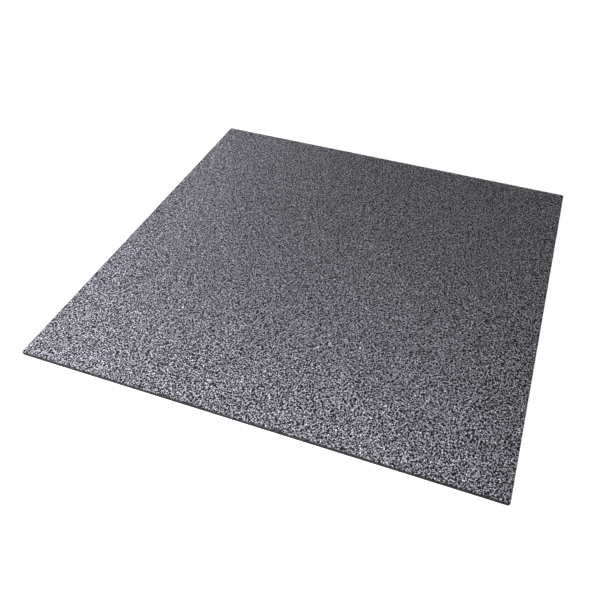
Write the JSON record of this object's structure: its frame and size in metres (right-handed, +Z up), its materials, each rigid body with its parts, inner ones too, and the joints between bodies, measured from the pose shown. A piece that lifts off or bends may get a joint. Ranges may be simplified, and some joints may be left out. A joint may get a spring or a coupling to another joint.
{
  "type": "rubber mat",
  "caption": "Thin square floor mat of bonded rubber granules that lies flat to cushion, grip and damp vibration.",
  "frame": {"origin": "centre of the underside, on the floor", "axes": "+Z up through the thickness, X and Y along the cut edges; -Y is the edge nearest to the viewer in the picture"},
  "size_m": [0.6, 0.6, 0.005],
  "materials": {
    "granulate": "matt, open-grained bonded rubber granulate, dark grey with paler granules"
  },
  "bodies": {
    "root": {"mat": "granulate"}
  },
  "joints": []
}
